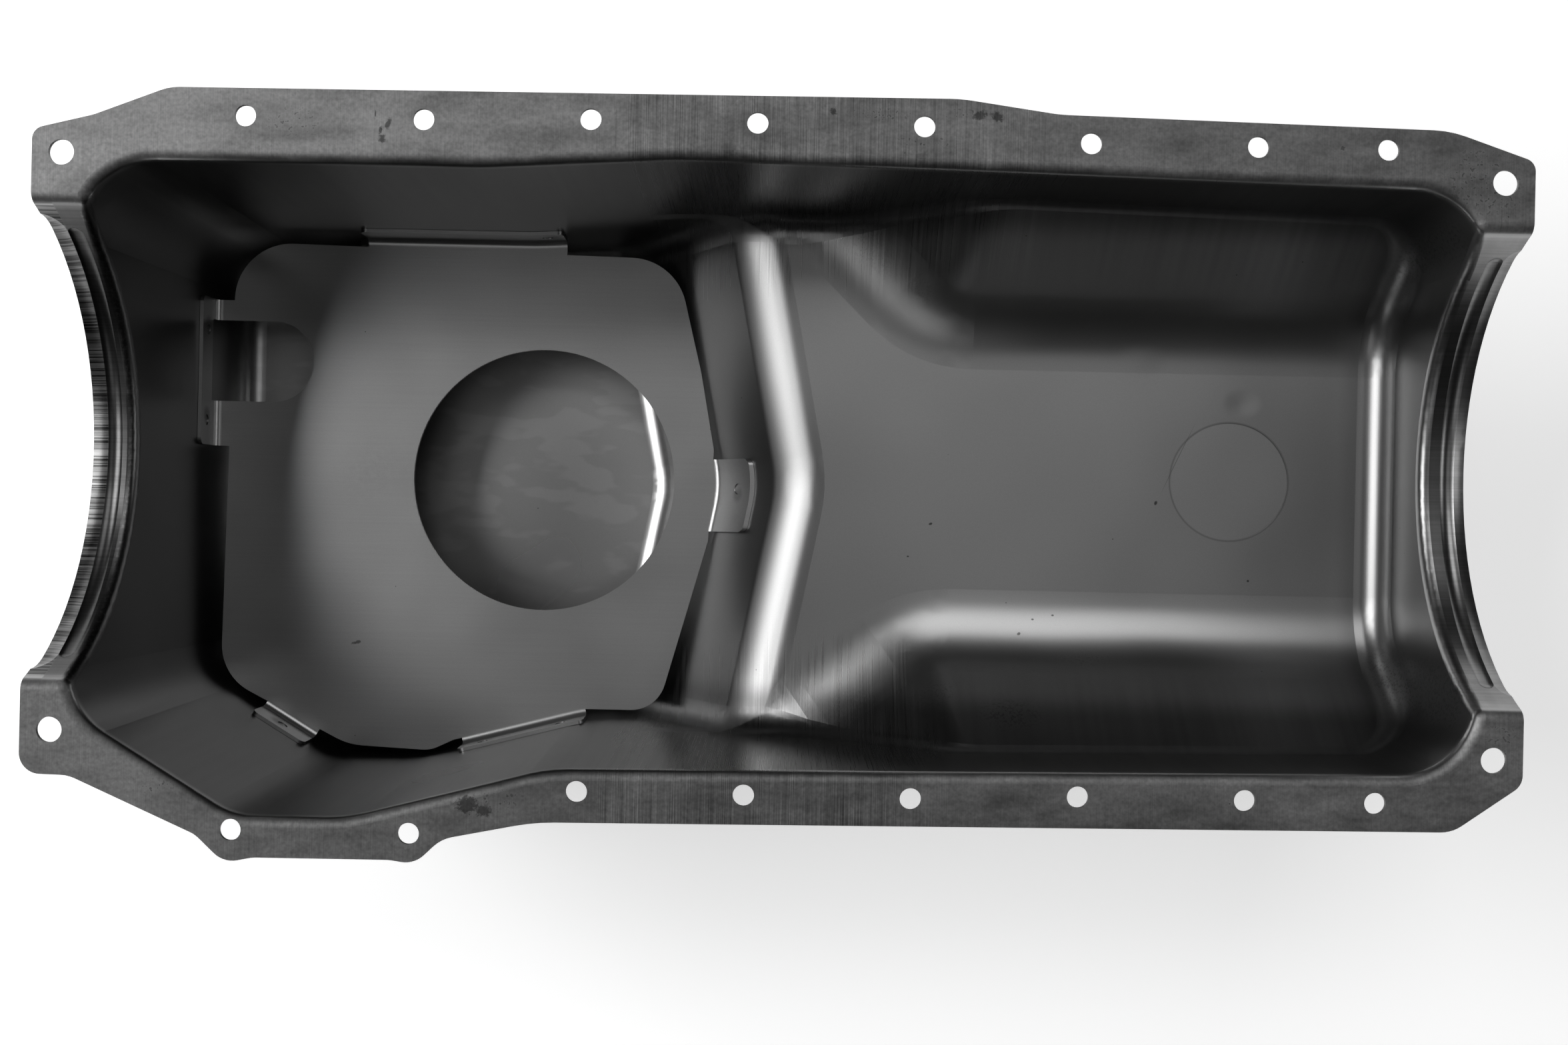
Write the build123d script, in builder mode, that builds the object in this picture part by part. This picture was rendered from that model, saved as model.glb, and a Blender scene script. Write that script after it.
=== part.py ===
from build123d import *
from math import cos, radians, sin, sqrt, tan
import os

os.makedirs("parts", exist_ok=True)

# A stamped steel engine oil pan, open side up.
# The origin is on the flange's sealing plane, below the crankshaft's centre line and midway along the pan.
# +X runs from the deep sump to the shallow end, and +Z points up towards the engine block.

# Sheet and its bends, the radii measured on the inside of the pan
sheet = 1.6
wall_draft = 1.4
flange_bend = 4.0
floor_bend = 12.0
sump_bend = 11.0

# Overall length and the depths below the sealing plane
half_length = 281.0
shelf_depth = 98.0
sump_depth = 182.0

# Bolt holes along the rails: seven at one pitch, the first and last set from the pan's ends
rail_hole = 8.0
pitch = half_length / 4.5
middle_hole_x = -10.0
rail_x = [middle_hole_x + n * pitch for n in range(-2, 4)]
sump_hole_x = -half_length + 79.5
shelf_hole_x = half_length - 55.0
sump_pair_y = (123.0, -144.0)
middle_pair_y = (124.4, -127.0)
shelf_pair_y = (119.4, -125.0)

# Larger holes at the corners
corner_hole = 9.6
corner_span_x = 2 * (half_length - 11.0)
corner_span_y = 216.0

# Step between shelf and sump, a shallow V in plan, placed by its foot on the sump's floor
step_foot_x = -54.1
step_apex_y = -8.0
step_v_angle = 11.0
step_slope = 54.0
step_apex_round = 60.0
shelf_fold = 28.0
step_apex_x = step_foot_x + (sump_depth - shelf_depth) / tan(radians(step_slope))

# Opening at the sealing plane, at the middle of the sheet: corners with their rounding radii
end_rail = 16.3
opening_end = half_length - end_rail
top_wall_y = 107.0
opening_corners = [
    (opening_end, 105.4, 28),
    (middle_hole_x - 30.0, 111.4, 150),
    (rail_x[1] - 40.0, top_wall_y, 150),
    (-opening_end, top_wall_y, 30),
    (-opening_end, -101.4, 28),
    (sump_hole_x, -139.8, 30),
    (sump_hole_x + 42.5, -139.8, 60),
    (step_foot_x - 29.3, -120.0, 60),
    (opening_end, -115.0, 30),
]

# Flange outline, trimmed flat at both ends: corners with their rounding radii
ear_reach = 11.6
flange_corners = [
    (half_length, 116.0, 5),
    (half_length - 32.2, 127.0, 40),
    (rail_x[4] - 12.0, 129.9, 60),
    (rail_x[3] + 13.5, 135.0, 60),
    (sump_hole_x - 28.4, 133.2, 20),
    (-half_length + 22.8, 122.2, 25),
    (-half_length, 116.5, 5),
    (-half_length, -124.5, 8),
    (-half_length + 18.5, -124.9, 14),
    (sump_hole_x - 13.1, sump_pair_y[1] - 2.0, 12),
    (sump_hole_x - 2.1, sump_pair_y[1] - ear_reach - 0.8, 10),
    (sump_hole_x + 8.5, sump_pair_y[1] - 10.2, 16),
    (rail_x[0] - 7.0, sump_pair_y[1] - 10.0, 16),
    (rail_x[0] + 2.5, sump_pair_y[1] - 11.4, 10),
    (rail_x[0] + 12.4, sump_pair_y[1] - 1.8, 14),
    (rail_x[1] - 15.5, -138.8, 80),
    (half_length - 26.0, -135.2, 14),
    (half_length, -117.0, 7),
]

# End rails, arcs about the crankshaft's axis, each with a shallow valley and a lip that falls away
saddle_radius = 98.5
saddle_height = 39.5
pad_bend = 5.0
sump_lip = 7.0
shelf_lip = 4.5
lip_overhang = 3.0
lip_radius = 20.0
valley_radius = 5.0
valley_depth = 0.9
channel_angle = 55.0

# Sloping banks along both sides of the shelf, each cut off at an angle towards the step
bank_slope = 49.5
bank_valley = 45.0
bank_ridge = 40.0
bank_outer_round = 32.0
upper_bank_start = step_apex_x + 10.0
upper_bank_inner = 64.0
upper_bank_outer = 112.0
upper_bank_cut = 45.0
lower_bank_start = step_apex_x - 8.9
lower_bank_inner = 72.7
lower_bank_outer = 118.0
lower_bank_cut = 36.0

# Round pad pressed into the shelf floor
disc_x = 195.0
disc_y = -3.0
disc_radius = 25.5
disc_step = 0.5

# Baffle plate over the sump: corners of its free edges with their rounding radii
baffle_height = 41.0
baffle_depth = sump_depth - baffle_height
plate_end_x = -half_length + 30.5
baffle_corners = [
    (plate_end_x, 98.8, 26),
    (step_foot_x + 5.0, 94.8, 26),
    (step_foot_x + 17.8, 42.5, 60),
    (step_foot_x + 24.2, 8.0, 8),
    (step_foot_x + 22.4, -34.0, 8),
    (step_foot_x + 0.7, -112.2, 16),
    (rail_x[1] - 14.0, -112.2, 4),
    (rail_x[0] - 11.5, -127.6, 4),
    (rail_x[0] - 22.0, -132.6, 14),
    (sump_hole_x + 7.0, -130.8, 30),
    (plate_end_x - 3.2, -100.5, 24),
]
pickup_hole_x = -107.4
pickup_hole_y = -7.6
pickup_hole_radius = 59.7
slot_end_x = -half_length + 67.0
slot_y = 44.0
slot_width = 37.0
slot_rise = 5.0

# Tabs turned up against the walls: a point inside the fold, outward direction, width, height,
# and its spot welds as distances along the tab from that point
tabs = [
    (-144.5, 96.0, 90.0, 91.0, 17.0, [-38.0]),
    (step_foot_x + 23.0, -13.0, 0.0, 33.0, 20.5, [3.0]),
    (rail_x[0] + 20.0, -117.5, -74.5, 58.0, 17.0, [-18.0, 18.0]),
    (sump_hole_x - 18.5, -118.0, -120.0, 27.0, 17.0, [0.0]),
    (plate_end_x, 38.4, 180.0, 66.8, 17.0, [-18.7, 22.2]),
]
tab_reach = 26.0
tab_bend = 3.0
tab_corner = 3.0
seat_gap = 0.1
weld_radius = 2.4
weld_depth = 0.4
weld_height = 0.62

# Drain in the sump's long side wall, on the flat between the baffle and the floor's bend:
# a welded bung whose collar fills that flat, the plug and its sealing washer
drain_x = -half_length + 96.0
drain_flat = baffle_height - sheet - sump_bend
drain_depth = sump_depth - sump_bend - drain_flat / 2
plug_radius = 6.35
plug_reach = 14.0
thread_clearance = 0.05
collar_radius = drain_flat / 2 - 1.7
collar_thickness = 3.0
bung_radius = collar_radius - 2.5
bung_clearance = 0.1
bung_inside = 9.0
gasket_radius = bung_radius + 1.5
gasket_thickness = 1.5
head_radius = gasket_radius - 0.5
head_flange = 2.0
hex_across_flats = 19.05
hex_height = 7.5
edge_break = 0.6

# Construction bodies reach past the pan by these distances
reach = 340.0
side_reach = 200.0
headroom = 60.0
tolerance = 0.01


def plan_shift(grow, slope):
    """Sideways shift of a sloping face where it leaves a floor that has moved down by the same offset."""
    return grow * tan(radians(slope) / 2)


def rounded_outline(corners):
    """A closed outline through corners given with their rounding radii."""
    return FilletPolyline(*[(x, y) for x, y, _ in corners], radius=[r for _, _, r in corners], close=True)


def tub(grow):
    """The drafted walls all round, from the sealing plane down to the sump floor."""
    depth = sump_depth + grow
    top_offset = (grow - sheet / 2) / cos(radians(wall_draft))
    foot_offset = top_offset - depth * tan(radians(wall_draft))
    with BuildPart() as walls:
        for z, move in ((0, top_offset), (-depth, foot_offset)):
            with BuildSketch(Plane.XY.offset(z)):
                with BuildLine():
                    rounded_outline(opening_corners)
                make_face()
                offset(amount=move, kind=Kind.ARC)
        loft(ruled=True)
    return walls.part


def bank(side, start, inner, outer, cut, grow):
    """One bank beside the shelf: a long face along the pan and a short one cutting across to the wall."""
    far = 2 * reach
    nose_at = (start + (outer - inner) / tan(radians(cut)), side * inner)
    heel_at = (start, side * outer)
    corners = [nose_at, (far, side * inner), (far, side * far), (start, side * far), heel_at]
    with BuildPart() as body:
        with BuildSketch(Plane.XY.offset(-shelf_depth - grow)):
            with BuildLine():
                Polyline(*corners[::side], close=True)
            make_face()
            if grow:
                offset(amount=-plan_shift(grow, bank_slope), kind=Kind.INTERSECTION)
        extrude(amount=shelf_depth + grow + headroom, taper=90 - bank_slope)
        for (x, y), radius in ((nose_at, bank_ridge - grow), (heel_at, bank_outer_round + grow)):
            sloping = body.edges().filter_by(lambda e: abs(e.tangent_at(0).Z) > 0.3)
            fillet(sloping.sort_by(lambda e: (e @ 0.5 - Vector(x, y, -shelf_depth)).length)[0], radius)
    return body.part


def step_block(grow):
    """What fills the space under the shelf, up to the sloping V-shaped step."""
    arm = side_reach * tan(radians(step_v_angle))
    slope = radians(step_slope)
    drop = sump_depth - shelf_depth + 2 * headroom
    with BuildPart() as block:
        with BuildSketch(Plane.XY.offset(-shelf_depth - grow)):
            with BuildLine():
                Polyline(
                    (step_apex_x, step_apex_y),
                    (step_apex_x - arm, step_apex_y + side_reach),
                    (2 * reach, step_apex_y + side_reach),
                    (2 * reach, step_apex_y - side_reach),
                    (step_apex_x - arm, step_apex_y - side_reach),
                    close=True,
                )
            make_face()
            if grow:
                offset(amount=-plan_shift(grow, step_slope), kind=Kind.INTERSECTION)
        extrude(amount=drop / sin(slope), dir=(-cos(slope), 0, -sin(slope)))
        sloping = block.edges().filter_by(lambda e: abs(e.tangent_at(0).Z) > 0.3)
        apex = sloping.sort_by(lambda e: abs(e.center().Y - step_apex_y) + abs(e.center().X))[0]
        fillet(apex, step_apex_round - grow)
    return block.part


def at_level(edges, z):
    """The edges that lie at one height."""
    return edges.filter_by_position(Axis.Z, z - tolerance, z + tolerance)


def crossing(edge):
    """Whether an edge inside the pan runs across it."""
    return abs(edge.tangent_at(0.5).Y) > 0.7 and abs(edge.center().X) < half_length


def shelf_and_step(grow):
    """Space over the shelf and in the sump, before the outer walls close it in."""
    floor_z = -shelf_depth - grow
    with BuildPart() as space:
        with BuildSketch(Plane.XY.offset(headroom)):
            Rectangle(2 * reach, 2 * side_reach - headroom)
        extrude(amount=-(sump_depth + grow + headroom))
        add(step_block(grow), mode=Mode.SUBTRACT)
        fillet(at_level(space.edges(), floor_z).filter_by(crossing), shelf_fold - grow)
        upper = bank(1, upper_bank_start, upper_bank_inner, upper_bank_outer, upper_bank_cut, grow)
        lower = bank(-1, lower_bank_start, lower_bank_inner, lower_bank_outer, lower_bank_cut, grow)
        add([upper, lower], mode=Mode.SUBTRACT)
        along = at_level(space.edges(), floor_z).filter_by(Axis.X)
        fillet(along.filter_by(lambda e: abs(e.center().Y) < upper_bank_outer), bank_valley + grow)
    return space.part


def cavity(grow):
    """The pan's hollow below the flange, its floors rounded into its walls."""
    with BuildPart() as space:
        add(tub(grow))
        add(shelf_and_step(grow), mode=Mode.INTERSECT)
        shelf_end = at_level(space.edges(), -shelf_depth - grow).sort_by(Axis.X)[-1]
        fillet(shelf_end, floor_bend + grow)
        sump_floor = space.faces().sort_by(Axis.Z)[0]
        fillet(sump_floor.edges().sort_by(Axis.X)[0], sump_bend + grow)
    return space.part


def above(grow):
    """Space above the flange, dipping into the two end saddles."""
    with BuildPart() as space:
        with BuildSketch(Plane.YZ.offset(-reach)) as profile:
            with Locations((0, (headroom - grow) / 2)):
                Rectangle(2 * side_reach, headroom + grow)
            with Locations((0, saddle_height)):
                Circle(saddle_radius + grow)
            shoulders = profile.vertices().filter_by(lambda v: abs(v.Y + grow) < tolerance)
            fillet(shoulders.filter_by(lambda v: abs(v.X) < saddle_radius), pad_bend - grow)
        extrude(amount=2 * reach)
    return space.part


def channel(x, radius, depth, grow):
    """A round-ended channel of circular section along one end rail."""
    ring = saddle_radius + depth - radius
    end_y = ring * sin(radians(channel_angle))
    end_z = saddle_height - ring * cos(radians(channel_angle))
    along = (0, cos(radians(channel_angle)), -sin(radians(channel_angle)))
    with BuildPart() as body:
        with BuildSketch(Plane(origin=(x, -end_y, end_z), z_dir=along)):
            Circle(radius + grow)
        revolve(axis=Axis((0, 0, saddle_height), (1, 0, 0)), revolution_arc=2 * channel_angle)
        with Locations((x, -end_y, end_z), (x, end_y, end_z)):
            Sphere(radius + grow)
    return body.part


def half_chord(radius, depth):
    """Half the width that a circle of this radius cuts at this depth."""
    return sqrt(2 * radius * depth - depth**2)


def hollow(grow):
    """All the space above the sheet, its boundary moved into the sheet by an offset."""
    with BuildPart() as space:
        add(above(grow))
        add(cavity(grow))
        inside = at_level(space.edges(), -grow).filter_by(lambda e: abs((e @ 0.5).X) < half_length)
        rim = inside.filter_by(lambda e: abs((e @ 0.5).Y) < side_reach - headroom)
        fillet(rim.sort_by(SortBy.LENGTH)[-1], flange_bend - grow)
        for end, lip in ((-1, sump_lip), (1, shelf_lip)):
            valley_x = half_length - lip - half_chord(valley_radius, valley_depth)
            lip_depth = lip_radius - sqrt(lip_radius**2 - (lip + lip_overhang) ** 2)
            add(channel(end * valley_x, valley_radius, valley_depth, grow))
            add(channel(end * (half_length + lip_overhang), lip_radius, lip_depth, grow))
        with BuildSketch(Plane.XY.offset(-shelf_depth)):
            with Locations((disc_x, disc_y)):
                Circle(disc_radius + grow / 2)
        extrude(amount=-(disc_step + grow))
    return space.part


def nest(inset):
    """Space inside the pan's walls above one face of the baffle's sheet, rounded where its tabs turn up."""
    rise = inset - seat_gap - sheet
    floor_z = -baffle_depth + rise
    with BuildPart() as space:
        add(tub(-inset))
        split(bisect_by=Plane.XY.offset(floor_z), keep=Keep.TOP)
        foot = space.faces().sort_by(Axis.Z)[0]
        fillet(foot.edges().sort_by(Axis.X)[0], tab_bend - rise)
        with BuildPart(mode=Mode.PRIVATE) as before_step:
            with BuildSketch(Plane.XY.offset(floor_z)):
                Rectangle(2 * reach, 2 * side_reach - headroom)
            extrude(amount=baffle_depth)
            add(step_block(-inset), mode=Mode.SUBTRACT)
            fillet(at_level(before_step.edges(), floor_z).filter_by(crossing), tab_bend - rise)
        add(before_step.part, mode=Mode.INTERSECT)
    return space.part


def upright(x, y, z, outward):
    """A vertical plane through a point, facing outward at an angle in plan."""
    facing = radians(outward)
    return Plane((x, y, z), x_dir=(-sin(facing), cos(facing), 0), z_dir=(cos(facing), sin(facing), 0))


# The pan itself, one deep-drawn sheet
with BuildPart() as pan_shell:
    with BuildSketch(Plane.XY.offset(sheet)):
        with BuildLine():
            rounded_outline(flange_corners)
        make_face()
    extrude(amount=-(sump_depth + 3 * sheet))
    add(hollow(sheet), mode=Mode.INTERSECT)
    add(hollow(0), mode=Mode.SUBTRACT)
    bolt_rows = (
        ([sump_hole_x, rail_x[0]], sump_pair_y),
        (rail_x[1:4], middle_pair_y),
        ([*rail_x[4:], shelf_hole_x], shelf_pair_y),
    )
    with Locations(*[(x, y) for pairs_x, pair_y in bolt_rows for x in pairs_x for y in pair_y]):
        Cylinder(rail_hole / 2, 3 * sheet, mode=Mode.SUBTRACT)
    with GridLocations(corner_span_x, corner_span_y, 2, 2):
        Cylinder(corner_hole / 2, 3 * sheet, mode=Mode.SUBTRACT)
    drain_wall_y = top_wall_y + sheet / 2 / cos(radians(wall_draft)) - drain_depth * tan(radians(wall_draft))
    drain = Plane(
        origin=(drain_x, drain_wall_y, -drain_depth),
        x_dir=(1, 0, 0),
        z_dir=(0, cos(radians(wall_draft)), -sin(radians(wall_draft))),
    )
    with Locations(drain):
        Cylinder(bung_radius + bung_clearance, 3 * sheet, mode=Mode.SUBTRACT)

# Shallow dents that the spot welds leave in the tabs' inner faces
with BuildPart() as weld_dents:
    for x, y, outward, _, height, spots in tabs:
        with BuildSketch(upright(x, y, weld_height * height - baffle_depth, outward)):
            with Locations(*[(spot, 0) for spot in spots]):
                Circle(weld_radius)
        extrude(amount=2 * tab_reach)
    add(nest(seat_gap + sheet - weld_depth), mode=Mode.INTERSECT)

# The baffle, one sheet whose tabs follow the pan's walls
with BuildPart() as baffle_plate:
    for x, y, outward, width, height, _ in tabs:
        with BuildSketch(upright(x, y, -baffle_depth, outward)):
            RectangleRounded(width, 2 * height, tab_corner)
        extrude(amount=tab_reach, both=True)
    add(nest(seat_gap), mode=Mode.INTERSECT)
    add(nest(seat_gap + sheet), mode=Mode.SUBTRACT)
    with BuildSketch(Plane.XY.offset(-baffle_depth - sheet)):
        with BuildLine():
            rounded_outline(baffle_corners)
        make_face()
    extrude(amount=sheet)
    add(weld_dents.part, mode=Mode.SUBTRACT)
    with BuildSketch(Plane.XY.offset(-baffle_depth - sheet)):
        with Locations((pickup_hole_x, pickup_hole_y)):
            Circle(pickup_hole_radius)
        with Locations((slot_end_x - slot_width / 2 - tab_reach, slot_y)):
            SlotCenterToCenter(2 * tab_reach, slot_width)
    extrude(amount=sheet + slot_rise, mode=Mode.SUBTRACT)

# Drain bung, its collar welded against the wall's inner face
with BuildPart() as drain_bung:
    with BuildSketch(drain):
        Circle(bung_radius)
    extrude(amount=-sheet - bung_inside)
    with BuildSketch(drain.offset(-sheet)):
        Circle(collar_radius)
    extrude(amount=-collar_thickness)
    inner_end = drain_bung.faces().sort_by(Axis(drain.origin, drain.z_dir))[0]
    chamfer(inner_end.edges(), edge_break)
    with Locations(drain):
        Cylinder(plug_radius + thread_clearance, 4 * bung_inside, mode=Mode.SUBTRACT)

# Sealing washer between the plug's head and the wall
with BuildPart() as drain_gasket:
    with BuildSketch(drain):
        Circle(gasket_radius)
        Circle(plug_radius + thread_clearance, mode=Mode.SUBTRACT)
    extrude(amount=gasket_thickness)

# Drain plug, a flanged hexagon screw
with BuildPart() as drain_plug:
    head_seat = drain.offset(gasket_thickness)
    with BuildSketch(head_seat):
        Circle(plug_radius)
    extrude(amount=-plug_reach)
    with BuildSketch(head_seat):
        Circle(head_radius)
    extrude(amount=head_flange)
    with BuildSketch(head_seat.offset(head_flange)):
        RegularPolygon(hex_across_flats / 2, 6, major_radius=False)
    extrude(amount=hex_height)
    ends = drain_plug.faces().sort_by(Axis(drain.origin, drain.z_dir))
    chamfer(ends[0].edges() + ends[-1].edges(), edge_break)

pan_shell.part.label = "pan_shell"
baffle_plate.part.label = "baffle_plate"
drain_bung.part.label = "drain_bung"
drain_gasket.part.label = "drain_gasket"
drain_plug.part.label = "drain_plug"
export_step(pan_shell.part, "parts/pan_shell.step")
export_step(baffle_plate.part, "parts/baffle_plate.step")
export_step(drain_bung.part, "parts/drain_bung.step")
export_step(drain_gasket.part, "parts/drain_gasket.step")
export_step(drain_plug.part, "parts/drain_plug.step")
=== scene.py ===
import math

import bpy
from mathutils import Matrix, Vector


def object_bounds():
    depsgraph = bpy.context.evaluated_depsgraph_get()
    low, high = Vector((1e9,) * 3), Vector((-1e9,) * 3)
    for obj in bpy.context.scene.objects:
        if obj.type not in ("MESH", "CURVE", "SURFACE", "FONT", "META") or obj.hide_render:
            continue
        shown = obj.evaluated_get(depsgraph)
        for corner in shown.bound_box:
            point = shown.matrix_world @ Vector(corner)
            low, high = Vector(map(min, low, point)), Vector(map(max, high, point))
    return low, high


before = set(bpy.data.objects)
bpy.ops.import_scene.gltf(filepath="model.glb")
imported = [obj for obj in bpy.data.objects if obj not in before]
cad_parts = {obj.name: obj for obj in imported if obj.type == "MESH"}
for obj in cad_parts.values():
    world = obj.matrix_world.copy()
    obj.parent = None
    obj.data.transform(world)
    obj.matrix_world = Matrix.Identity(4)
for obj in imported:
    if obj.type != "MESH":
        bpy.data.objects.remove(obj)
cad_low, cad_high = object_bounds()

# Camera as in the photo: straight down on the flange, turned a little, its image plane parallel to the flange
CAMERA_AT = (0.003, -0.0247, 0.620)
CAMERA_TURN = math.radians(1.24)
CAMERA_LENS = 38.1
CAMERA_SENSOR = 36.0

# Soft boxes: name, bearing and height in degrees, width and height in metres, watts
LIGHTS = (
    ("key_left", 167, 42, 1.5, 1.3, 39),
    ("far_side", 80, 57, 1.2, 1.2, 11),
    ("near_side", 245, 60, 1.0, 1.0, 2),
    ("low_right", 0, 24, 0.8, 0.8, 4),
    ("overhead", 0, 80, 1.0, 1.0, 1.4),
)
LIT_POINT = Vector((0, 0, -0.05))
LIGHT_DISTANCE = 2.3
WORLD_LEVEL = 0.01

# Floor, just under the sump's base
FLOOR_Z = cad_low.z - 0.0002
FLOOR_SIZE = 60.0
FLOOR_TONE = 0.85
FLOOR_ROUGH = 0.9
FLOOR_GLOW = 0.52

# From here on, places and sizes are in the part's frame, in millimetres
MM_PER_METRE = 1000.0
SHELF_Z = -98.0
SUMP_Z = -182.0

# Soft limits of the pan's regions, each from where its mask is 0 to where it is 1
FLANGE_Z = (-2.6, -0.6)
END_RAIL_Z = (-1.0, -3.5)
UNDER_RIM_Z = (-2.5, -7.0)
DRAWN_WALL_TOP_Z = (-1.5, -6.0)
DRAWN_WALL_FOOT_Z = (SHELF_Z + 8, SHELF_Z + 30)
# Where the painted shade on the walls ends below
SHADED_WALL_FOOT_Z = (-172, -160)
SMEARED_Z = (-8, -20)
SUMP_FLOOR_Z = (SUMP_Z + 6, SUMP_Z + 2)
SHELF_UNDER_Z = (SHELF_Z - 4, SHELF_Z - 1)
SHELF_OVER_Z = (SHELF_Z + 8, SHELF_Z + 3)
FAR_SIDE_Y = (60, 90)
NEAR_SIDE_Y = (-60, -90)
SIDE_WALL_Y = (92, 103)
NEAR_WALL_Y = (-88, -100)
INSIDE_WALLS_Y = (108, 92)
DEEP_WALL_X = (-243, -252)
SHALLOW_WALL_X = (240, 250)
SUMP_SIDE_X = (-90, -150)
STEP_X = (-64, -60)
FOLD_X = (-62, -50)
# Where painted shade darkens the near rail to the left, and painted light brightens it to the right
NEAR_RAIL_SHADE_X = (130, -20)
NEAR_RAIL_LIGHT_X = (130, 230)
DEEP_LIP_X = (-273.6, -274.4)
DEEP_RAIL_X = (-262.5, -264.5)
SHALLOW_RAIL_X = (262.5, 264.5)

# Stretches with a soft distance before and after: low, high, soft low, soft high
FAR_DRAWN_X = (-58, 55, 1.0, 70)
NEAR_DRAWN_X = (-61, 30, 12, 50)
FAR_RAIL_SHADE_X = (-58, 20, 0.8, 60)
# The height of the painted shade on the step
SHADED_STEP_Z = (-166, -110, 6, 7)
FOLD_Z = (-107.0, SHELF_Z - 1.2, 3.0, 1.1)
DEEP_CREST_X = (-265.6, -264.4, 0.5, 0.5)

# Tones of the pan's steel: the whole, then factors of its regions and marks
SHELL_TONE = 0.31
FLANGE_TONE = 0.60
FAR_RAIL_TONE = 0.86
# Painted shade on the near rail's left part and painted light on its right end
NEAR_RAIL_SHADE_TONE = 0.75
NEAR_RAIL_LIGHT_TONE = 1.25
# Painted shade that darkens the side walls, the deep end wall, the near sump wall and the step
WALL_SHADE_TONE = 0.496
NEAR_WALL_SHADE_TONE = 0.62
STEP_SHADE_TONE = 0.62
# Painted shade that dims the shallow end wall and the highlight on its bend
SHALLOW_WALL_SHADE_TONE = 0.70
# Painted highlight: a lighter colour on the fold between shelf and step, which is also rougher
FOLD_HIGHLIGHT_TONE = 1.25
# Painted light on the sump's floor under the baffle
SUMP_FLOOR_LIGHT_TONE = 1.5
SMUDGE_TONE = 1.14
STAIN_TONE = 0.42
FAINT_TONE = 0.80
SMEAR_TONE = 0.62
MARK_TONE = 0.25
SPECK_TONE = 0.45
SCRATCH_TONE = 0.62
# Painted shade along the rim of the shelf's round pad
DISC_RIM_SHADE_TONE = 0.72
DEEP_RAIL_TONE = 0.5
# Painted highlight in dots along the deep rail's crest
CREST_HIGHLIGHT_TONE = 1.5
BRIGHTEST = 1.7

# Roughness of the pan's steel, and what regions and marks add to it
SHELL_ROUGH = 0.30
FLANGE_ROUGHER = 0.28
FOLD_ROUGHER = 0.16
SMEAR_ROUGHER = 0.08
STAIN_ROUGHER = 0.06

# Marks in plan: x, y, half length, half width, turn in degrees, and the share of the radius that is soft
RAIL_STAINS = (
    (-148.1, 121.2, 1.1, 2.9, -20, 0.5),
    (-150.9, 118.6, 0.8, 1.8, -10, 0.5),
    (-150.3, 115.4, 1.6, 1.9, 0, 0.5),
    (-113.2, -132.6, 4.6, 3.8, 15, 0.4),
    (-107.0, -134.8, 3.6, 2.6, 0, 0.5),
    (18.1, 129.3, 1.5, 1.8, 0, 0.5),
    (73.0, 129.0, 3.2, 2.0, 25, 0.5),
    (79.5, 128.6, 3.0, 2.2, -30, 0.5),
)
RAIL_DRIP = (-152.9, 124.8, 0.35, 1.6, 0, 0.6)
SPOTTED_PATCHES = (
    (36.0, 128.6, 17, 3.0, 0, 0.5),
    (66.0, 129.4, 12, 2.4, 0, 0.5),
    (53.0, 118.6, 16, 3.2, 0, 0.6),
    (-229.0, -128.6, 9, 5.0, 0, 0.7),
    (-102.0, -131.0, 16, 6.0, 10, 0.7),
    (-183.0, 121.0, 16, 9.0, 0, 0.8),
    (209.0, 119.6, 9, 2.0, 0, 0.6),
    (262.0, 108.0, 20, 16, -30, 0.5),
    (273.0, -100.0, 10, 12, 0, 0.8),
)
FAINT_MARKS = (
    (-20.7, 114.8, 3.4, 2.3, 10, 0.3),
    (51.6, 113.3, 3.0, 1.4, 0, 0.4),
    (-172.0, 117.0, 26, 5.0, 4, 0.9),
    (-266.0, 95.0, 9, 5, 20, 0.8),
)
FAINT_LINE = (-63.0, 121.0, 0.5, 11, 0, 0.5)
SMEARS = (
    (38.0, 93.0, 21, 9, -42, 0.8),
    (60.0, 76.0, 10, 6, -42, 0.9),
    (30.0, -103.0, 20, 6, 30, 0.8),
    (66.0, -96.0, 14, 6, 20, 0.9),
    (98.0, -102.0, 18, 8, 0, 0.9),
    (132.0, -80.0, 14, 4, 0, 0.9),
    (262.0, -88.0, 12, 22, 20, 0.8),
    (262.0, 96.0, 10, 24, -10, 0.9),
)
SHELF_MARKS = (
    (66.4, -23.9, 1.0, 0.6, 20, 0.4),
    (105.0, -70.4, 1.0, 0.7, 30, 0.4),
    (111.1, -64.2, 0.7, 0.45, 0, 0.4),
    (119.8, -62.3, 0.7, 0.45, 0, 0.4),
    (56.9, -38.2, 0.6, 0.4, 0, 0.4),
    (204.2, -45.7, 0.6, 0.6, 0, 0.4),
    (163.6, -12.8, 0.8, 1.2, -20, 0.5),
)
SHELF_SCRATCH = (172.8, 6.6, 21.0, 0.22, 65.0, 0.6)
SHELF_HOLLOW = (200.0, 31.0, 9, 7, 0, 1.0)
SHELF_SWELL = (156.0, 49.0, 12, 8, 0, 1.0)

# Rim of the round pad in the shelf, drawn as a dark line of painted shade: centre, radius, and the soft half
# width of its dark line
DISC_AT = (195.0, -3.0)
DISC_RADIUS = 25.6
DISC_LINE = (0.7, 0.1)

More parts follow.
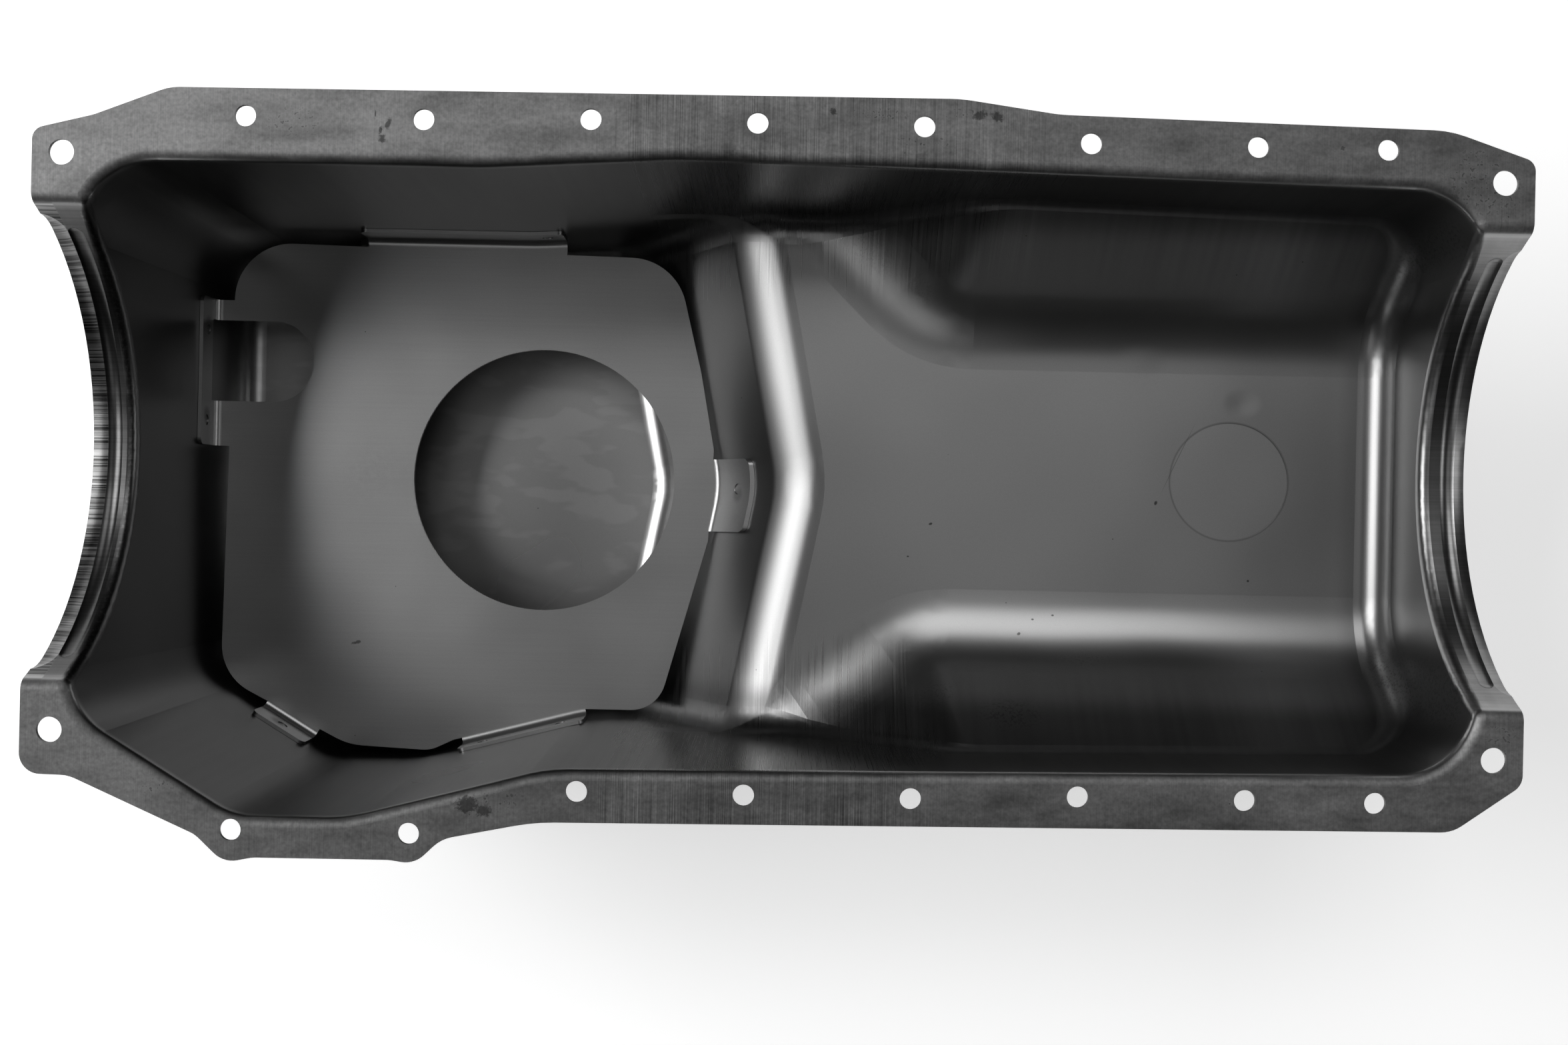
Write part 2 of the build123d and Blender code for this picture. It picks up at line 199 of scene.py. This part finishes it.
# The baffle: its tone and roughness, a rubbed patch and a smear as in the rows above, and its spot welds
PLATE_TONE = 0.33
PLATE_ROUGH = 0.35
PLATE_PATCH = (-186.0, -6.0, 26, 20, 20, 1.0)
PLATE_SMEAR = (-191.7, -83.9, 2.6, 0.9, 15, 0.5)
PLATE_WELDS = (
    (-223.8, -119.9, -130.5),
    (-133.3, -127.4, -130.5),
    (-98.5, -118.3, -130.5),
    (-104.1, 101.9, -130.5),
    (-259.2, 59.5, -130.5),
    (-259.2, 18.6, -130.5),
    (-17.9, -12.4, -128.3),
)
WELD_RADIUS = 5.0

# The drain parts' tones
BUNG_TONE = 0.40
PLUG_TONE = 0.55
GASKET_TONE = 0.045


class Graph:
    """A material's node tree, with short calls for its nodes. A mask is 1 inside a region and 0 outside."""

    def __init__(self, name, metallic=0.0):
        self.material = bpy.data.materials.new(name)
        self.material.use_nodes = True
        self.nodes = self.material.node_tree.nodes
        self.links = self.material.node_tree.links
        self.shader = self.nodes["Principled BSDF"]
        self.shader.inputs["Metallic"].default_value = metallic
        metres = self.nodes.new("ShaderNodeTexCoord").outputs["Object"]
        self.place = self.vector("MULTIPLY", metres, [MM_PER_METRE] * 3)
        split = self.nodes.new("ShaderNodeSeparateXYZ")
        self.links.new(self.place, split.inputs[0])
        self.x, self.y, self.z = split.outputs

    def put(self, value, socket):
        """Links an output to a socket, or sets a plain value on it."""
        if isinstance(value, bpy.types.NodeSocket):
            self.links.new(value, socket)
        else:
            socket.default_value = value

    def math(self, operation, a, b=0.0, c=0.0):
        node = self.nodes.new("ShaderNodeMath")
        node.operation = operation
        for value, socket in zip((a, b, c), node.inputs):
            self.put(value, socket)
        return node.outputs[0]

    def vector(self, operation, *values):
        """A vector calculation; LENGTH and DISTANCE give a number."""
        node = self.nodes.new("ShaderNodeVectorMath")
        node.operation = operation
        for value, socket in zip(values, node.inputs):
            self.put(value, socket)
        return node.outputs["Value" if operation in ("LENGTH", "DISTANCE") else "Vector"]

    def chain(self, operation, values):
        """One operation over several values, from left to right."""
        total = values[0]
        for value in values[1:]:
            total = self.math(operation, total, value)
        return total

    def add(self, *values):
        return self.chain("ADD", values)

    def times(self, *values):
        return self.chain("MULTIPLY", values)

    def top(self, *values):
        """The largest of several masks."""
        return self.chain("MAXIMUM", values)

    def ramp(self, value, start, end, low=0.0, high=1.0):
        """Smooth change from low to high as value goes from start to end."""
        node = self.nodes.new("ShaderNodeMapRange")
        node.interpolation_type = "SMOOTHSTEP"
        self.put(value, node.inputs["Value"])
        for name, number in (("From Min", start), ("From Max", end), ("To Min", low), ("To Max", high)):
            node.inputs[name].default_value = number
        return node.outputs["Result"]

    def band(self, value, low, high, soft_low, soft_high):
        """1 between low and high, falling to 0 over a soft distance outside each."""
        return self.times(self.ramp(value, low - soft_low, low), self.ramp(value, high + soft_high, high))

    def swing(self, noise, amount):
        """Noise from 0 to 1 turned into a factor around 1."""
        return self.math("MULTIPLY_ADD", noise, 2 * amount, 1 - amount)

    def around_zero(self, noise, amount):
        """Noise from 0 to 1 turned into an amount above and below 0."""
        return self.times(self.math("SUBTRACT", noise, 0.5), amount)

    def only(self, factor, mask):
        """A factor where the mask is 1, and 1 where it is 0."""
        return self.math("MULTIPLY_ADD", self.math("SUBTRACT", factor, 1.0), mask, 1.0)

    def noise(self, scale, detail=3.0, rough=0.55, stretch=(1, 1, 1), shift=(0, 0, 0)):
        """Noise from 0 to 1; scale is per millimetre, and stretch draws it out along each axis."""
        node = self.nodes.new("ShaderNodeTexNoise")
        drawn_out = self.vector("MULTIPLY_ADD", self.place, [1 / s for s in stretch], shift)
        self.links.new(drawn_out, node.inputs["Vector"])
        node.inputs["Scale"].default_value = scale
        node.inputs["Detail"].default_value = detail
        node.inputs["Roughness"].default_value = rough
        return node.outputs["Fac"]

    def specks(self, spacing, radius, share):
        """Small round specks, one in some of the cells of a random grid."""
        node = self.nodes.new("ShaderNodeTexVoronoi")
        self.links.new(self.place, node.inputs["Vector"])
        node.inputs["Scale"].default_value = 1 / spacing
        chosen = self.nodes.new("ShaderNodeSeparateColor")
        self.links.new(node.outputs["Color"], chosen.inputs[0])
        near = self.ramp(node.outputs["Distance"], radius / spacing, 0.5 * radius / spacing)
        return self.times(near, self.math("LESS_THAN", chosen.outputs[0], share))

    def plan_offset(self, x, y):
        """How far a place lies from a point in plan, as a vector."""
        return self.vector("MULTIPLY_ADD", self.place, (1, 1, 0), (-x, -y, 0))

    def spot(self, x, y, half_length, half_width, turn, soft, ragged=None):
        """1 inside an ellipse in plan, falling to 0 at its rim, which a noise given as ragged breaks up."""
        offset = self.plan_offset(x, y)
        if turn:
            node = self.nodes.new("ShaderNodeVectorRotate")
            node.rotation_type = "Z_AXIS"
            self.links.new(offset, node.inputs["Vector"])
            node.inputs["Angle"].default_value = -math.radians(turn)
            offset = node.outputs[0]
        share = self.vector("MULTIPLY", offset, (1 / half_length, 1 / half_width, 0))
        distance = self.vector("LENGTH", share)
        if ragged is not None:
            distance = self.math("MULTIPLY_ADD", ragged, 1.6, self.math("SUBTRACT", distance, 0.8))
        return self.ramp(distance, 1.0, 1.0 - soft)

    def spots(self, rows, ragged=None):
        """The largest of several spots."""
        return self.top(*[self.spot(*row, ragged=ragged) for row in rows])

    def ring(self, centre, radius, line):
        """A thin circle in plan, with the soft limits of its line's half width."""
        distance = self.vector("LENGTH", self.plan_offset(*centre))
        return self.ramp(self.math("ABSOLUTE", self.math("SUBTRACT", distance, radius)), *line)

    def ball(self, centre, radius):
        """1 at a point in space, falling to 0 at a radius."""
        return self.ramp(self.vector("DISTANCE", self.place, centre), radius, 0.3 * radius)

    def finish(self, tone, roughness, height):
        """Sets the colour, the roughness and a relief given in millimetres."""
        self.put(tone, self.shader.inputs["Base Color"])
        self.put(roughness, self.shader.inputs["Roughness"])
        relief = self.nodes.new("ShaderNodeBump")
        self.put(height, relief.inputs["Height"])
        relief.inputs["Distance"].default_value = 1 / MM_PER_METRE
        self.links.new(relief.outputs[0], self.shader.inputs["Normal"])
        return self.material


class PressedSteel(Graph):
    """The pan's bare oiled steel. Each layer is a factor on the tone."""

    def __init__(self):
        super().__init__("pressed_steel", metallic=1.0)
        self.cloud = self.noise(0.012, 1)
        self.mottle = self.noise(0.07, 3, 0.7, stretch=(2.5, 1, 1))
        self.ragged = self.noise(0.8, 2, 0.7)
        self.drops = self.noise(0.6, 1, 0.7, shift=(7, 3, 0))
        self.across = self.noise(2.6, 1, 0.75, stretch=(1, 160, 160))
        self.along = self.noise(1.6, 1, 0.8, stretch=(160, 1, 160))

        far_side = self.ramp(self.y, *FAR_SIDE_Y)
        near_side = self.ramp(self.y, *NEAR_SIDE_Y)
        self.flange = self.ramp(self.z, *FLANGE_Z)
        self.under_rim = self.ramp(self.z, *UNDER_RIM_Z)
        self.far_rail = self.times(self.flange, far_side)
        self.near_rail = self.times(self.flange, near_side)
        self.drawn = self.top(
            self.times(self.band(self.x, *FAR_DRAWN_X), far_side),
            self.times(self.band(self.x, *NEAR_DRAWN_X), near_side),
        )
        self.fold = self.times(self.ramp(self.x, *FOLD_X), self.band(self.z, *FOLD_Z))
        self.shelf = self.times(self.ramp(self.z, *SHELF_UNDER_Z), self.ramp(self.z, *SHELF_OVER_Z))
        end_rail = self.ramp(self.z, *END_RAIL_Z)
        self.deep_lip = self.times(self.ramp(self.x, *DEEP_LIP_X), end_rail)
        self.deep_rail = self.times(self.ramp(self.x, *DEEP_RAIL_X), end_rail)
        self.shallow_rail = self.times(self.ramp(self.x, *SHALLOW_RAIL_X), end_rail)
        dotted = self.ramp(self.drops, 0.52, 0.60)
        self.crest_highlight = self.times(self.band(self.x, *DEEP_CREST_X), end_rail, dotted)

        spotted = self.times(self.spots(SPOTTED_PATCHES), self.ramp(self.drops, 0.60, 0.66), 0.8)
        solid = self.top(self.spots(RAIL_STAINS, self.ragged), self.spot(*RAIL_DRIP))
        self.stain = self.times(self.top(solid, spotted), self.flange)
        broken = self.ramp(self.ragged, 0.50, 0.62)
        self.smeared = self.times(self.spots(SMEARS), self.ramp(self.z, *SMEARED_Z), broken)

    def draw_marks(self):
        """Cloudy and mottled steel, with fine lines across the rails and down the walls."""
        wide = self.noise(0.35, 0, stretch=(1, 60, 60))
        wall = self.times(self.ramp(self.z, *DRAWN_WALL_TOP_Z), self.ramp(self.z, *DRAWN_WALL_FOOT_Z))
        lines = self.times(self.swing(self.across, 0.75), self.swing(wide, 0.25))
        return self.times(
            self.swing(self.cloud, 0.10),
            self.only(self.times(self.swing(self.mottle, 0.85), self.swing(self.drops, 0.35)), self.flange),
            self.swing(self.noise(2.2, 1, 0.7), 0.07),
            self.only(lines, self.times(self.drawn, self.add(self.flange, self.times(wall, 0.5)))),
            self.only(self.swing(self.across, 0.22), self.flange),
            self.only(self.swing(wide, 0.10), wall),
        )

    def regions(self):
        """Painted shade on the walls, the step and the shallow end, painted shade and painted light along the
        near rail, a darker stretch of the far rail, and a painted highlight on the shelf's fold.
        """
        aside = self.math("ABSOLUTE", self.y)
        # Painted shade on the side and deep end walls, the near sump wall and the step
        shaded_walls = self.times(
            self.top(self.ramp(aside, *SIDE_WALL_Y), self.ramp(self.x, *DEEP_WALL_X)),
            self.under_rim,
            self.ramp(self.z, *SHADED_WALL_FOOT_Z),
        )
        shaded_near_wall = self.times(
            self.ramp(self.y, *NEAR_WALL_Y), self.under_rim, self.ramp(self.x, *SUMP_SIDE_X)
        )
        shaded_step = self.times(
            self.ramp(self.x, *STEP_X), self.band(self.z, *SHADED_STEP_Z), self.ramp(aside, *INSIDE_WALLS_Y)
        )
        return self.times(
            self.only(WALL_SHADE_TONE, shaded_walls),
            self.only(NEAR_WALL_SHADE_TONE, shaded_near_wall),
            self.only(STEP_SHADE_TONE, shaded_step),
            # painted shade on the shallow end wall and its bend
            self.only(SHALLOW_WALL_SHADE_TONE, self.times(self.ramp(self.x, *SHALLOW_WALL_X), self.under_rim)),
            # painted shade on the near rail to the left, painted light to the right
            self.only(NEAR_RAIL_SHADE_TONE, self.times(self.near_rail, self.ramp(self.x, *NEAR_RAIL_SHADE_X))),
            self.only(NEAR_RAIL_LIGHT_TONE, self.times(self.near_rail, self.ramp(self.x, *NEAR_RAIL_LIGHT_X))),
            self.only(FAR_RAIL_TONE, self.times(self.far_rail, self.band(self.x, *FAR_RAIL_SHADE_X))),
            # painted highlight on the shelf's fold
            self.only(FOLD_HIGHLIGHT_TONE, self.fold),
        )

    def stains(self):
        """Stains and faint spots on the rails, and smears where the banks run into the walls."""
        faint = self.top(self.spots(FAINT_MARKS), self.spot(*FAINT_LINE, ragged=self.ragged))
        return self.times(
            self.only(STAIN_TONE, self.stain),
            self.only(FAINT_TONE, self.times(self.flange, faint)),
            self.only(SMEAR_TONE, self.smeared),
        )

    def sump_light_and_smudges(self):
        """The sump's floor painted lighter as painted light, with broad smudges drawn out along the pan."""
        floor = self.ramp(self.z, *SUMP_FLOOR_Z)
        smudges = self.ramp(self.noise(0.09, 2, 0.6, stretch=(2.6, 1, 1), shift=(0, 5, 0)), 0.50, 0.60)
        smudged = self.only(SMUDGE_TONE, self.times(floor, smudges))
        return self.times(self.only(SUMP_FLOOR_LIGHT_TONE, floor), smudged)

    def small_marks(self):
        """Nicks and a scratch on the shelf, a line of painted shade round the rim of its round pad, and
        specks everywhere.
        """
        return self.times(
            self.only(MARK_TONE, self.times(self.shelf, self.spots(SHELF_MARKS))),
            self.only(SCRATCH_TONE, self.times(self.shelf, self.spot(*SHELF_SCRATCH))),
            # painted shade round the pad's rim
            self.only(DISC_RIM_SHADE_TONE, self.times(self.shelf, self.ring(DISC_AT, DISC_RADIUS, DISC_LINE))),
            self.only(SPECK_TONE, self.specks(9.0, 0.42, 0.16)),
        )

    def end_rails(self):
        """Hard scoring on the deep end's lip, a darker rail inside it with a painted highlight in dots along
        its crest, and a plainer shallow end.
        """
        wide = self.noise(0.25, 0, stretch=(80, 1, 1))
        score = self.times(self.ramp(self.along, 0.36, 0.60, 0.2, 1.0), self.swing(wide, 0.6))
        inside_lip = self.times(self.deep_rail, self.math("SUBTRACT", 1.0, self.deep_lip))
        return self.times(
            self.only(score, self.deep_lip),
            self.only(self.times(self.swing(self.along, 0.35), DEEP_RAIL_TONE), inside_lip),
            self.only(CREST_HIGHLIGHT_TONE, self.crest_highlight),
            self.only(self.swing(self.along, 0.25), self.shallow_rail),
            self.only(self.swing(self.mottle, 0.4), self.top(self.deep_rail, self.shallow_rail)),
        )

    def roughness(self):
        return self.add(
            SHELL_ROUGH,
            self.around_zero(self.cloud, 0.10),
            self.times(self.flange, FLANGE_ROUGHER),
            self.times(self.fold, FOLD_ROUGHER),
            self.times(self.around_zero(self.mottle, 0.35), self.flange),
            self.times(self.around_zero(self.across, 0.20), self.drawn),
            self.times(self.around_zero(self.along, 0.25), self.deep_lip),
            self.times(self.smeared, SMEAR_ROUGHER),
            self.times(self.stain, STAIN_ROUGHER),
        )

    def relief(self):
        """Gentle waves in the sheet, two soft dents in the shelf, draw marks and scoring, in millimetres."""
        return self.add(
            self.times(self.noise(0.022, 0), 0.5),
            self.times(self.shelf, self.spot(*SHELF_HOLLOW), -0.15),
            self.times(self.shelf, self.spot(*SHELF_SWELL), 0.105),
            self.times(self.across, self.top(self.drawn, self.times(self.flange, 0.35)), 0.02),
            self.times(self.along, self.top(self.deep_lip, self.times(self.deep_rail, 0.4)), 0.05),
        )

    def complete(self):
        marks = self.times(
            self.draw_marks(),
            self.regions(),
            self.stains(),
            self.sump_light_and_smudges(),
            self.small_marks(),
            self.end_rails(),
        )
        marks = self.math("MINIMUM", marks, BRIGHTEST)
        tone = self.times(marks, self.only(FLANGE_TONE, self.flange), SHELL_TONE)
        return self.finish(tone, self.roughness(), self.relief())


def plate_steel():
    """The baffle: smooth rolled sheet with faint lines, specks, a smear and dull rings at its welds."""
    g = Graph("baffle_steel", metallic=1.0)
    cloud = g.noise(0.015, 2)
    grain = g.noise(2.2, 1, 0.7)
    rolled = g.noise(0.9, 2, 0.6, stretch=(60, 1, 1))
    patch = g.times(g.spot(*PLATE_PATCH), g.noise(0.35, 3, 0.7))
    smear = g.spot(*PLATE_SMEAR, ragged=g.noise(0.9, 2, 0.65))
    welds = g.top(*[g.ball(centre, WELD_RADIUS) for centre in PLATE_WELDS])
    tone = g.times(
        g.swing(cloud, 0.08),
        g.swing(grain, 0.07),
        g.swing(rolled, 0.05),
        g.only(0.72, patch),
        g.only(0.35, smear),
        g.only(0.62, welds),
        g.only(0.40, g.specks(8.0, 0.40, 0.20)),
        PLATE_TONE,
    )
    roughness = g.add(PLATE_ROUGH, g.around_zero(cloud, 0.10), g.times(patch, 0.06), g.times(welds, 0.08))
    height = g.add(g.times(g.noise(0.018, 0), 0.45), g.times(rolled, 0.004))
    return g.finish(tone, roughness, height)


def bung_steel():
    """Turned steel with fine rings and light rust bloom."""
    g = Graph("bung_steel", metallic=1.0)
    grain = g.noise(1.8, 4, 0.7)
    bloom = g.ramp(g.noise(0.25, 4, 0.65), 0.45, 0.75)
    turned = g.noise(2.5, 2, 0.6, stretch=(80, 1, 80))
    tone = g.times(g.swing(grain, 0.12), g.swing(turned, 0.15), g.only(0.78, bloom), BUNG_TONE)
    height = g.add(g.times(turned, 0.03), g.times(grain, 0.01))
    return g.finish(tone, g.math("MULTIPLY_ADD", bloom, 0.15, 0.42), height)


def plug_steel():
    """Plated screw: brighter, smooth, with worn edges and a dull film."""
    g = Graph("plug_steel", metallic=1.0)
    film = g.ramp(g.noise(0.18, 4, 0.65), 0.40, 0.70)
    grain = g.noise(2.4, 4, 0.7)
    edges = g.ramp(g.nodes.new("ShaderNodeNewGeometry").outputs["Pointiness"], 0.51, 0.56)
    tone = g.times(g.swing(grain, 0.08), g.only(0.82, film), g.only(1.18, edges), PLUG_TONE)
    return g.finish(tone, g.add(0.30, g.times(film, 0.14), g.times(grain, 0.06)), g.times(grain, 0.01))


def gasket_fibre():
    """Pressed fibre washer, dark and matt."""
    g = Graph("gasket_fibre")
    fibre = g.noise(1.2, 5, 0.75)
    tone = g.times(g.swing(fibre, 0.35), GASKET_TONE)
    return g.finish(tone, g.math("MULTIPLY_ADD", fibre, 0.2, 0.6), g.times(fibre, 0.08))


def studio_floor():
    """Plain pale floor that glows a little to the camera and in reflections, so that it looks white there."""
    g = Graph("studio_floor")
    g.shader.inputs["Base Color"].default_value = (FLOOR_TONE, FLOOR_TONE, FLOOR_TONE, 1)
    g.shader.inputs["Roughness"].default_value = FLOOR_ROUGH
    g.shader.inputs["Emission Color"].default_value = (1, 1, 1, 1)
    path = g.nodes.new("ShaderNodeLightPath")
    seen = g.top(*[path.outputs[name] for name in ("Is Camera Ray", "Is Glossy Ray", "Is Transmission Ray")])
    g.put(g.times(seen, FLOOR_GLOW), g.shader.inputs["Emission Strength"])
    return g.material


def soft_box(name, bearing, height, width, depth, power):
    """An area light aimed at the pan's middle."""
    lamp = bpy.data.lights.new(name, "AREA")
    lamp.shape = "RECTANGLE"
    lamp.size, lamp.size_y = width, depth
    lamp.energy = power
    holder = bpy.data.objects.new(name, lamp)
    bpy.context.scene.collection.objects.link(holder)
    turn, rise = math.radians(bearing), math.radians(height)
    outward = Vector((math.cos(rise) * math.cos(turn), math.cos(rise) * math.sin(turn), math.sin(rise)))
    holder.location = LIT_POINT + LIGHT_DISTANCE * outward
    holder.rotation_euler = outward.to_track_quat("Z", "Y").to_euler()


looks = {
    "pan_shell": PressedSteel().complete(),
    "baffle_plate": plate_steel(),
    "drain_bung": bung_steel(),
    "drain_plug": plug_steel(),
    "drain_gasket": gasket_fibre(),
}
for node, look in looks.items():
    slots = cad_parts[node].material_slots
    for place in slots:
        place.material = look
    if not slots:
        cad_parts[node].data.materials.append(look)

bpy.ops.mesh.primitive_plane_add(size=FLOOR_SIZE, location=(0, 0, FLOOR_Z))
floor = bpy.context.object
floor.name = "studio_floor"
floor.data.materials.append(studio_floor())

for light in LIGHTS:
    soft_box(*light)

world = bpy.data.worlds.new("studio")
bpy.context.scene.world = world
world.use_nodes = True
sky = world.node_tree.nodes["Background"]
sky.inputs["Color"].default_value = (1, 1, 1, 1)
# The sky looks like the far floor to the camera, and lights the pan only faintly
path = world.node_tree.nodes.new("ShaderNodeLightPath")
level = world.node_tree.nodes.new("ShaderNodeMath")
level.operation = "MULTIPLY_ADD"
level.inputs[1].default_value = FLOOR_GLOW
level.inputs[2].default_value = WORLD_LEVEL
world.node_tree.links.new(path.outputs["Is Camera Ray"], level.inputs[0])
world.node_tree.links.new(level.outputs[0], sky.inputs["Strength"])

camera = bpy.data.cameras.new("photo_camera")
camera.sensor_width = CAMERA_SENSOR
camera.lens = CAMERA_LENS
camera_at = bpy.data.objects.new("photo_camera", camera)
bpy.context.scene.collection.objects.link(camera_at)
camera_at.location = CAMERA_AT
camera_at.rotation_euler = (0, 0, CAMERA_TURN)
bpy.context.scene.camera = camera_at
bpy.context.scene.view_settings.view_transform = "Standard"
